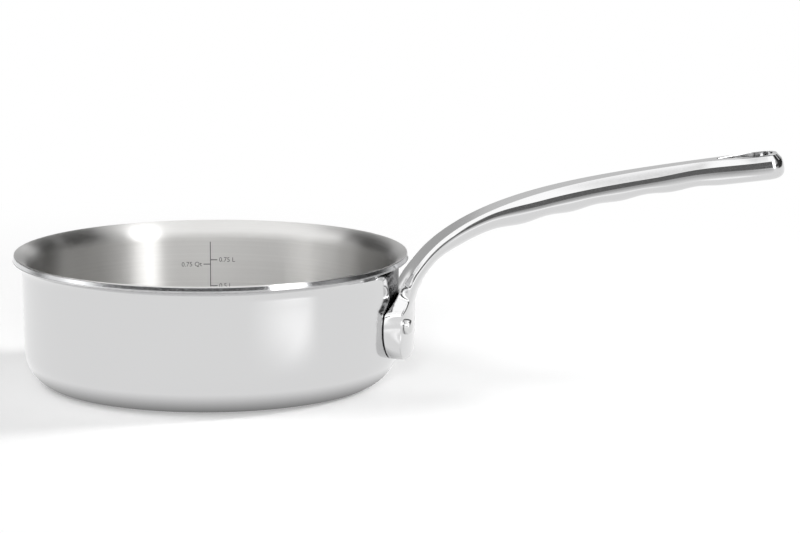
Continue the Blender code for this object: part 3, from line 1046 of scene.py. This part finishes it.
volumeScale = {
    "angle": math.radians(92.9),
    "lineWidth": 0.0004,
    "lineBottom": 0.0277,
    "lineTop": 0.0485,
    "tickLength": 0.0030,
    "letterSize": 0.0030,
    "letterCurveSteps": 3,
    "letterGap": 0.0007,
    "standsOut": 0.00004,
    # text, height over the base and side of the line
    "marks": [("0.75 L", 0.0401, 1), ("0.75 Qt", 0.0381, -1), ("0.5 L", 0.0280, 1)],
}


def markMeshes():
    # Flat outlines in the plane of the wall: x to the right, y up from the pan's base
    bm = bmesh.new()
    half = volumeScale["lineWidth"] / 2

    def bar(left, right, bottom, top):
        corners = [(left, bottom), (right, bottom), (right, top), (left, top)]
        bm.faces.new([bm.verts.new((x, y, 0)) for x, y in corners])

    bar(-half, half, volumeScale["lineBottom"], volumeScale["lineTop"])
    for label, level, side in volumeScale["marks"]:
        ends = sorted((side * half, side * (half + volumeScale["tickLength"])))
        bar(*ends, level - half, level + half)
        text = bpy.data.curves.new("mark", "FONT")
        text.body = label
        text.size = volumeScale["letterSize"]
        text.align_x = "LEFT" if side > 0 else "RIGHT"
        text.align_y = "CENTER"
        text.resolution_u = volumeScale["letterCurveSteps"]
        textObject = addObject("mark", text)
        letters = finalMesh(textObject)
        gap = side * (half + volumeScale["tickLength"] + volumeScale["letterGap"])
        letters.transform(Matrix.Translation((gap, level, 0)))
        bm.from_mesh(letters)
        bpy.data.objects.remove(textObject)
    return bm


def makeScale(finish):
    bm = markMeshes()
    bmesh.ops.triangulate(bm, faces=bm.faces)
    grown = bmesh.ops.extrude_face_region(bm, geom=list(bm.faces), use_keep_orig=True)
    raised = [item for item in grown["geom"] if isinstance(item, bmesh.types.BMVert)]
    bmesh.ops.translate(bm, verts=raised, vec=(0, 0, volumeScale["standsOut"]))
    for vert in bm.verts:
        across, level, out = vert.co
        radius = outerWallRadius(level) - wallThickness - out
        angle = volumeScale["angle"] - across / radius
        vert.co = (radius * math.cos(angle), radius * math.sin(angle), level)
    placePiece("volumeScale", closeMesh("volumeScale", bm, finish), [])


# Studio: a white sweep, lamps for the floor and cards that the steel mirrors

studio = {
    "floorSize": 8.0,
    "floorTone": 0.80,
    "floorGlow": 0.23,
    "floorFades": (0.18, 0.50),
    "worldDiffuse": 0.30,
    # name, place, diameter and power
    "lamps": [
        ("rightLamp", (1.25, 0.30, 0.62), 0.35, 16.0),
        ("leftLamp", (-0.95, -0.15, 1.10), 1.0, 7.0),
        ("frontLamp", (0.0, -1.5, 0.55), 0.3, 8.0),
    ],
    # how far off the first far card is, how far each next one is behind the one before, and the
    # degrees that one face of a card covers
    "cardDistance": 2.2,
    "cardSpacing": 0.05,
    "cardFace": 4,
    # where a card starts to fade: just outside it, so that a softness of 0 leaves its edge solid
    "fadeStart": -0.001,
    # the shade that the body mirrors round its foot: inner and outer radius and height, faces
    # round and across, then strength and softness as for the cards
    "footShade": (0.040, 0.090, 0.0002),
    "footShadeFaces": (72, 2),
    "footShadeLight": (0.12, 0.0, 0.5),
}

# Far cards on a ball round the pan, in degrees: azimuth from the camera's side towards the
# handle, elevation, strength, how soft the ends and the upper and lower edges are, and whether
# the ends lean so that they show upright in the brushed wall
farCards = {
    "rimSoftbox": (46, 60, 14, 24, 3.0, 0.12, 0.12, False),
    "stripSoftbox": (36, 54, 14, 54, 6.5, 0.08, 0.10, True),
    "frontSlot": (-110, 120, 14, 25, 0.05, 0.05, 0.15, False),
    "leftGlint": (104, 114, 30, 58, 0.9, 0.3, 0.1, True),
    "frontFill": (-95, 66, 3, 52, 1.9, 0.10, 0.15, True),
    "overheadSoftbox": (-180, 180, 50, 89.9, 1.45, 0.0, 0.2, False),
    "rightFlag": (82, 155, 2, 62, 0.03, 0.22, 0.1, False),
    "rightShade": (52, 160, 2, 62, 0.22, 0.40, 0.1, False),
    "leftFlag": (-168, -100, 2, 62, 0.03, 0.25, 0.1, False),
    "backBoard": (140, 220, 2, 20, 0.64, 0.1, 0.3, False),
    "backFlag": (140, 176, 20, 60, 0.12, 0.1, 0.1, False),
}

# Near cards by their corners, then strength and softness in the same way
nearCards = {
    "gripFlag": (
        (0.096, -0.045, 0.048), (0.275, -0.045, 0.083),
        (0.275, -0.045, 0.195), (0.096, -0.045, 0.118),
        0.14, 0.05, 0.35,
    ),
    "neckBoard": (
        (-0.16, 0.40, 0.001), (0.16, 0.40, 0.001),
        (0.16, 0.40, 0.130), (-0.16, 0.40, 0.130),
        0.42, 0.05, 0.15,
    ),
    # painted sheen: a glowing patch on the floor that only the steel mirrors, in place of a
    # softbox's pool of light on the floor, which gives the outside of the body its soft highlight
    "paintedFloorSheen": (
        (0.040, -0.150, 0.001), (0.135, -0.085, 0.001),
        (0.330, -0.165, 0.001), (0.125, -0.345, 0.001),
        1.36, 0.5, 0.4,
    ),
}


def seenRays(tree):
    # Whether a ray comes from a mirror or glass, and whether from one of those or the camera
    path = addNode(tree, "ShaderNodeLightPath").outputs
    mirrored = mathNode(tree, "MAXIMUM", path["Is Glossy Ray"], path["Is Transmission Ray"])
    return mirrored, mathNode(tree, "MAXIMUM", path["Is Camera Ray"], mirrored)


def makeWorld():
    world = bpy.data.worlds.new("whiteStudio")
    world.use_nodes = True
    scene.world = world
    tree = world.node_tree
    tree.nodes.clear()
    strength = mapRange(tree, seenRays(tree)[1], 0, 1, studio["worldDiffuse"], 1.0)
    light = outputOf(tree, "ShaderNodeBackground", {"Color": white, "Strength": strength})
    tree.links.new(light, tree.nodes.new("ShaderNodeOutputWorld").inputs[0])


def mixedMaterial(name, makeShaders):
    # Makes two shaders and the share of the second, and mixes them
    material = bpy.data.materials.new(name)
    material.use_nodes = True
    tree = material.node_tree
    tree.nodes.clear()
    first, second, share = makeShaders(tree)
    mixed = outputOf(tree, "ShaderNodeMixShader", {0: share, 1: first, 2: second})
    tree.links.new(mixed, tree.nodes.new("ShaderNodeOutputMaterial").inputs[0])
    return material


def emission(tree, strength):
    return outputOf(tree, "ShaderNodeEmission", {"Color": white, "Strength": strength})


def fadeIn(tree, value, start, end):
    return mapRange(tree, value, start, end, 0.0, 1.0, interpolation_type="SMOOTHSTEP")


def floorShaders(tree):
    # Lit near the pan, where its shadow falls, and plain white further out and in the steel
    mirrored, seen = seenRays(tree)
    tone = (*((studio["floorTone"],) * 3), 1)
    diffuse = outputOf(tree, "ShaderNodeBsdfDiffuse", {"Color": tone})
    glow = emission(tree, mathNode(tree, "MULTIPLY", seen, studio["floorGlow"]))
    lit = outputOf(tree, "ShaderNodeAddShader", {0: diffuse, 1: glow})
    away = addNode(tree, "ShaderNodeVectorMath", {0: objectPlace(tree)}, operation="LENGTH")
    fade = fadeIn(tree, away.outputs["Value"], *studio["floorFades"])
    share = mathNode(tree, "MAXIMUM", mathNode(tree, "MULTIPLY", fade, seen), mirrored)
    return lit, emission(tree, 1.0), share


def makeFloor():
    bm = bmesh.new()
    bmesh.ops.create_grid(bm, x_segments=1, y_segments=1, size=studio["floorSize"])
    floor = addObject("floor", closeMesh("floor", bm, mixedMaterial("whiteSweep", floorShaders)))


def makeLamps():
    for name, place, size, power in studio["lamps"]:
        data = bpy.data.lights.new(name, "AREA")
        data.shape = "DISK"
        data.size = size
        data.energy = power
        lamp = addObject(name, data)
        lamp.location = place
        lamp.rotation_euler = (-Vector(place)).to_track_quat("-Z", "Y").to_euler()
        lamp.visible_glossy = False


def onBall(startTurn, endTurn, low, high, leans, distance):
    def place(across, up):
        turn = math.radians(startTurn + (endTurn - startTurn) * across)
        rise = math.radians(low + (high - low) * up)
        if leans:
            turn = turn / 2 + math.asin(min(1, max(-1, math.sin(turn / 2) / math.cos(rise))))
        flat = distance * math.cos(rise)
        return flat * math.sin(turn), -flat * math.cos(turn), distance * math.sin(rise)

    return place


def betweenCorners(corners):
    a, b, c, d = (Vector(corner) for corner in corners)
    return lambda across, up: (a.lerp(b, across)).lerp(d.lerp(c, across), up)


def roundFoot(inner, outer, height):
    def place(across, up):
        angle = math.tau * across
        radius = inner + (outer - inner) * up
        return radius * math.cos(angle), radius * math.sin(angle), height

    return place


def makeCard(name, place, columns, rows, strength, endSoftness, edgeSoftness):
    # A glowing card that only mirrored rays meet, and that fades out at its edges
    def cardShaders(tree):
        spot = outputOf(tree, "ShaderNodeUVMap")
        parts = addNode(tree, "ShaderNodeSeparateXYZ", {0: spot}).outputs
        fades = []
        for part, softness in zip(parts, (endSoftness, edgeSoftness)):
            fromEdge = mathNode(tree, "MINIMUM", part, mathNode(tree, "SUBTRACT", 1.0, part))
            fades.append(fadeIn(tree, fromEdge, studio["fadeStart"], softness))
        clear = outputOf(tree, "ShaderNodeBsdfTransparent")
        return clear, emission(tree, strength), mathNode(tree, "MULTIPLY", *fades)

    bm = bmesh.new()
    uvLayer = bm.loops.layers.uv.new("UVMap")
    verts = [
        [bm.verts.new(place(i / columns, j / rows)) for j in range(rows + 1)]
        for i in range(columns + 1)
    ]
    for i in range(columns):
        for j in range(rows):
            spots = [(i, j), (i + 1, j), (i + 1, j + 1), (i, j + 1)]
            face = bm.faces.new([verts[a][b] for a, b in spots])
            for loop, (a, b) in zip(face.loops, spots):
                loop[uvLayer].uv = (a / columns, b / rows)
    card = addObject(name, closeMesh(name, bm, mixedMaterial(name, cardShaders)))
    for rays in ("camera", "diffuse", "shadow", "transmission", "volume_scatter"):
        setattr(card, "visible_" + rays, False)


def makeStudio():
    makeWorld()
    makeFloor()
    makeLamps()
    size = studio["cardFace"]
    for i, (name, (start, end, low, high, *light, leans)) in enumerate(farCards.items()):
        distance = studio["cardDistance"] + studio["cardSpacing"] * i
        columns, rows = math.ceil((end - start) / size), math.ceil((high - low) / size)
        makeCard(name, onBall(start, end, low, high, leans, distance), columns, rows, *light)
    for name, (*corners, strength, endSoftness, edgeSoftness) in nearCards.items():
        makeCard(name, betweenCorners(corners), 1, 1, strength, endSoftness, edgeSoftness)
    shade = roundFoot(*studio["footShade"])
    makeCard("footShade", shade, *studio["footShadeFaces"], *studio["footShadeLight"])
    print("made the studio")


def main():
    makeCamera()
    drills = makeDrills()
    makeBody(drills, mirrorSteel(), polishedCore(), brushedSteel())
    makeHandle(drills, castSteel())
    makeRivets(rivetSteel())
    makeScale(etchedInk())
    makeStudio()


main()
